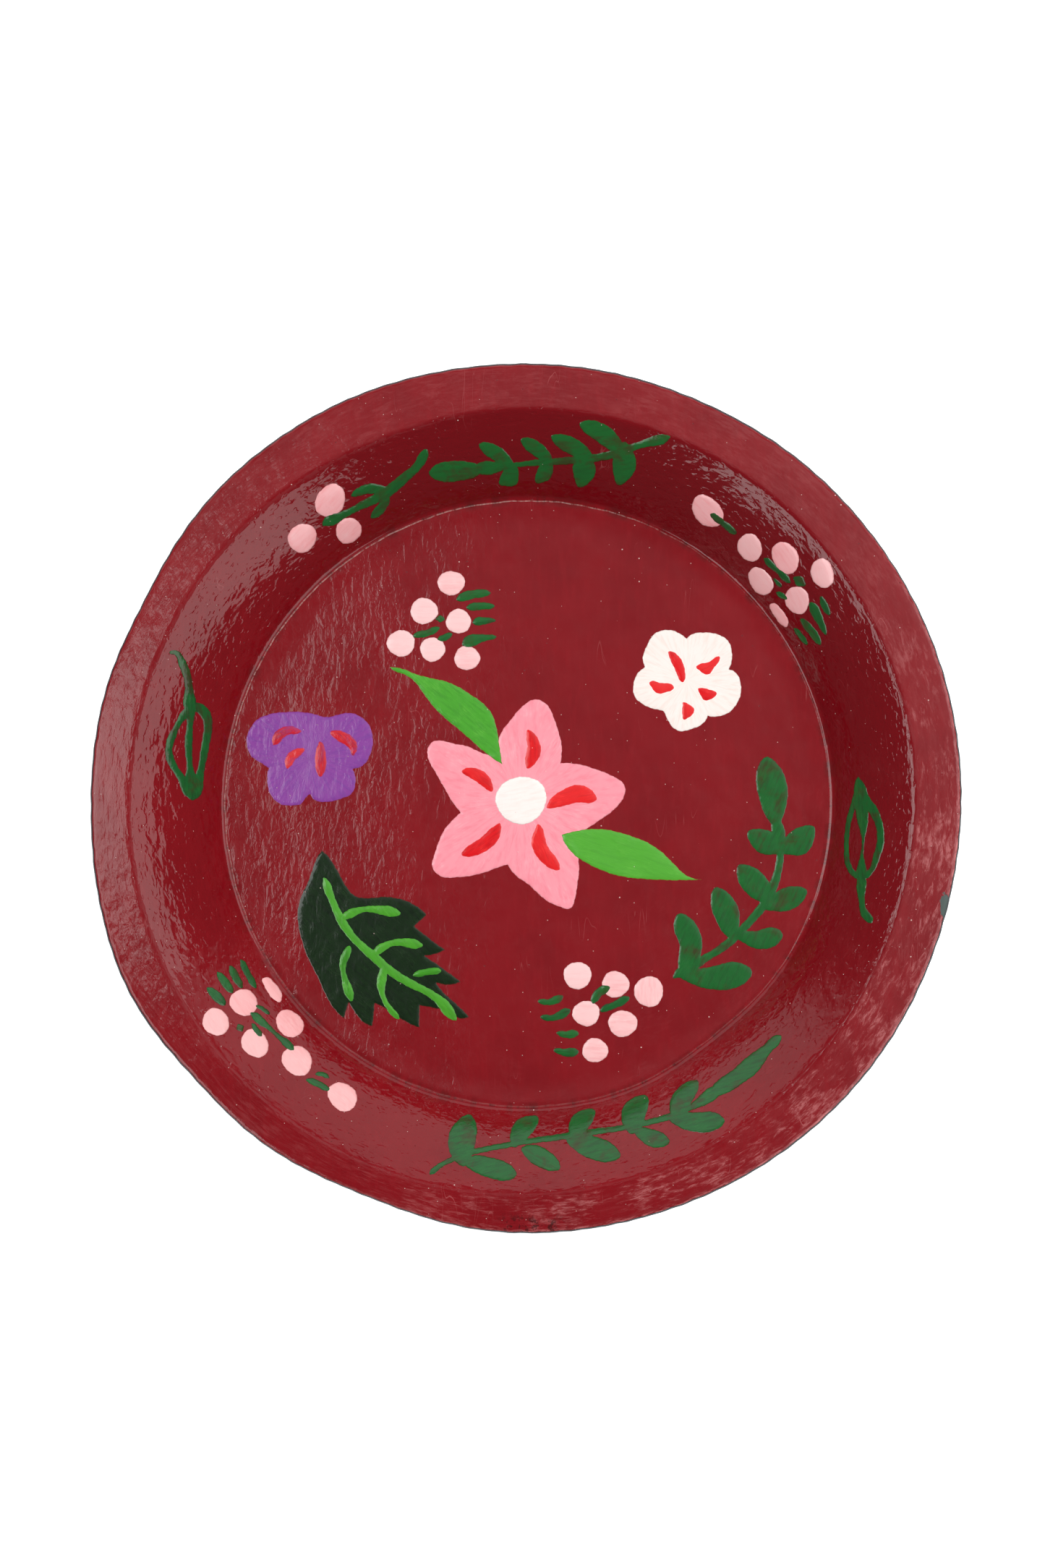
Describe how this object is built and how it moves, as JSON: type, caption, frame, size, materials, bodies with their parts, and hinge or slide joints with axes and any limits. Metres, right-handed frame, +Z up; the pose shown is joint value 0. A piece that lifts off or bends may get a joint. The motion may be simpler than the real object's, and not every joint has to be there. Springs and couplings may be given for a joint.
{
  "type": "painted round tray",
  "caption": "Shallow round sheet-steel tray with a flared wall, flat brim and wired edge, enamelled red inside and painted by hand with flowers, leaves, berries and sprigs.",
  "frame": {"origin": "on the table under the middle of the tray, at the centre of the flat underside", "axes": "+Z up out of the hollow of the tray, +Y towards the far side of the painted pattern (top of the picture), +X to its right"},
  "size_m": [0.3, 0.3, 0.0259],
  "materials": {
    "steel": "bare pressed sheet steel",
    "wire_steel": "bare drawn wire",
    "back_lacquer": "dark teal-black lacquer, semi-gloss",
    "ground_coat": "matt grey-green filler under the enamel",
    "red_enamel": "thick glossy hand-brushed enamel",
    "pink_paint": "glossy brushed enamel paint",
    "berry_paint": "glossy brushed enamel paint",
    "white_paint": "glossy brushed enamel paint",
    "bright_red_paint": "thin glossy brush strokes",
    "purple_paint": "glossy brushed enamel paint",
    "light_green_paint": "glossy brushed enamel paint",
    "leaf_green_paint": "thin glossy brush strokes",
    "dark_green_paint": "glossy brushed enamel paint"
  },
  "bodies": {
    "root": {"tray_body": "steel", "rim_wire": "wire_steel", "base_lacquer": "back_lacquer", "rim_lacquer": "back_lacquer", "ground_coat": "ground_coat", "face_enamel": "red_enamel", "centre_flower_petals": "pink_paint", "centre_flower_eye": "white_paint", "centre_flower_strokes": "bright_red_paint", "centre_flower_upper_leaf": "light_green_paint", "centre_flower_lower_leaf": "light_green_paint", "white_flower_petals": "white_paint", "white_flower_strokes": "bright_red_paint", "purple_flower_petals": "purple_paint", "purple_flower_strokes": "bright_red_paint", "dark_leaf_blade": "dark_green_paint", "dark_leaf_veins": "light_green_paint", "upper_berries": "berry_paint", "upper_berry_leaves": "leaf_green_paint", "lower_berries": "berry_paint", "lower_berry_leaves": "leaf_green_paint", "right_floor_sprig": "leaf_green_paint", "wall_upper_left_berries": "berry_paint", "wall_upper_left_berry_leaves": "leaf_green_paint", "wall_upper_right_berries": "berry_paint", "wall_upper_right_berry_leaves": "leaf_green_paint", "wall_lower_left_berries": "berry_paint", "wall_lower_left_berry_leaves": "leaf_green_paint", "wall_far_sprig": "leaf_green_paint", "wall_near_sprig": "leaf_green_paint", "wall_right_leaf": "leaf_green_paint", "wall_left_leaf": "leaf_green_paint"}
  },
  "joints": []
}
